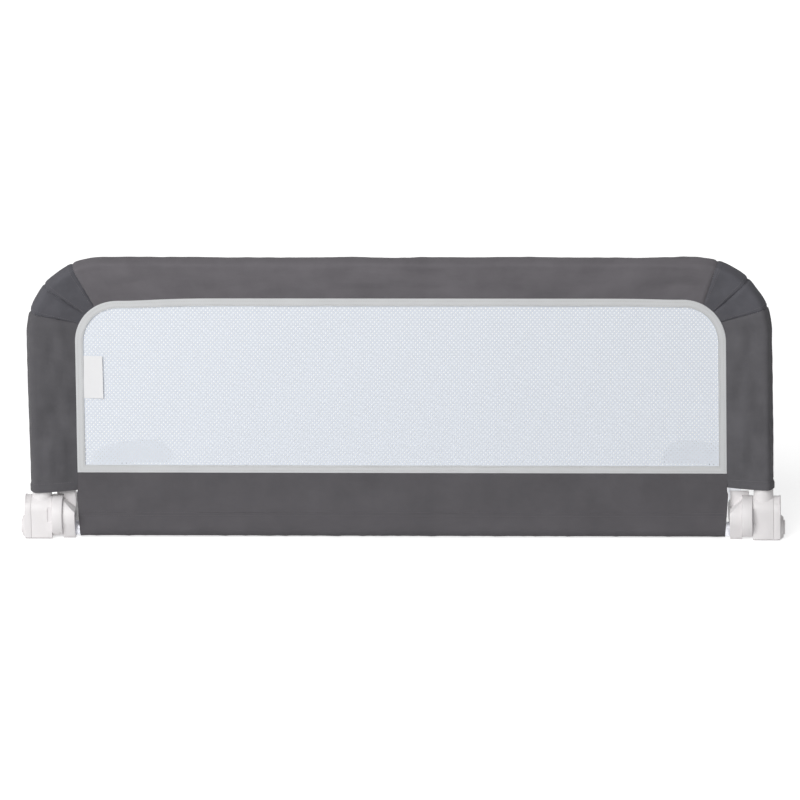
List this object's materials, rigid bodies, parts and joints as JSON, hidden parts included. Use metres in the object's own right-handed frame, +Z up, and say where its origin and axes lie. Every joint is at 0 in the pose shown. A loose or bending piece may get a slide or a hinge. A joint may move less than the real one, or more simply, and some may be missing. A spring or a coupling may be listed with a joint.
{
  "type": "folding bed guard rail",
  "caption": "Low folding bed guard: grey fabric cover on a bent tube frame with a mesh panel, white side hinges with push buttons, and two curved arms that slide under a mattress.",
  "frame": {"origin": "on the floor, in the middle of the footprint", "axes": "+X to the right across the rail, +Y from the rail towards the mattress, +Z up"},
  "size_m": [1.06, 0.398, 0.404],
  "materials": {
    "white_plastic": "satin moulded white",
    "grey_fabric": "woven mid grey cloth",
    "tape_fabric": "pale grey woven tape",
    "net_fabric": "knitted white net",
    "label_fabric": "smooth white tape",
    "plated_tube": "zinc plated tube",
    "steel_parts": "plain steel",
    "grip_rubber": "matt ribbed rubber"
  },
  "bodies": {
    "base": {"crossbar": "plated_tube", "crossbar_hem": "grey_fabric", "arm_knuckle_left": "white_plastic", "arm_knuckle_right": "white_plastic", "hinge_disc_left": "white_plastic", "hinge_disc_right": "white_plastic", "lock_plate_left": "steel_parts", "lock_plate_right": "steel_parts", "arm_tube_left": "plated_tube", "arm_tube_right": "plated_tube", "foot_left": "white_plastic", "foot_right": "white_plastic", "grip_pad_left": "grip_rubber", "grip_pad_right": "grip_rubber", "pivot_bolt_left": "steel_parts", "pivot_bolt_right": "steel_parts", "pivot_nut_left": "steel_parts", "pivot_nut_right": "steel_parts", "pivot_washer_left": "steel_parts", "pivot_washer_right": "steel_parts", "arm_screw_left": "steel_parts", "arm_screw_right": "steel_parts", "foot_screw_left": "steel_parts", "foot_screw_right": "steel_parts"},
    "rail": {"hinge_housing_left": "white_plastic", "hinge_housing_right": "white_plastic", "outer_cap_left": "white_plastic", "outer_cap_right": "white_plastic", "cap_screw_left": "steel_parts", "cap_screw_right": "steel_parts", "upright_screw_left": "steel_parts", "upright_screw_right": "steel_parts", "side_tube_left": "plated_tube", "side_tube_right": "plated_tube", "tube_coupler_left": "plated_tube", "tube_coupler_right": "plated_tube", "coupler_pin_left": "steel_parts", "coupler_pin_right": "steel_parts", "side_cover_left": "grey_fabric", "side_cover_right": "grey_fabric", "upper_gore_left": "grey_fabric", "upper_gore_right": "grey_fabric", "lower_gore_left": "grey_fabric", "lower_gore_right": "grey_fabric", "button_spring_left": "steel_parts", "button_spring_right": "steel_parts", "top_tube": "plated_tube", "top_cover": "grey_fabric", "mesh_panel": "net_fabric", "mesh_binding": "tape_fabric", "lower_panel": "grey_fabric", "label_tab": "label_fabric"},
    "button_left": {"release_button_left": "white_plastic", "lock_plunger_left": "steel_parts"},
    "button_right": {"release_button_right": "white_plastic", "lock_plunger_right": "steel_parts"}
  },
  "joints": [
    {"name": "rail_fold", "type": "hinge", "parent": "base", "child": "rail", "pos_m": [0, -0.17, 0.0305], "axis": [1, 0, 0], "range_deg": [-88, 180]},
    {"name": "release_button_left", "type": "slide", "parent": "rail", "child": "button_left", "axis": [1, 0, 0], "range_m": [0, 0.005], "stiffness_N_per_m": 400, "springref_m": -0.004},
    {"name": "release_button_right", "type": "slide", "parent": "rail", "child": "button_right", "axis": [-1, 0, 0], "range_m": [0, 0.005], "stiffness_N_per_m": 400, "springref_m": -0.004}
  ]
}
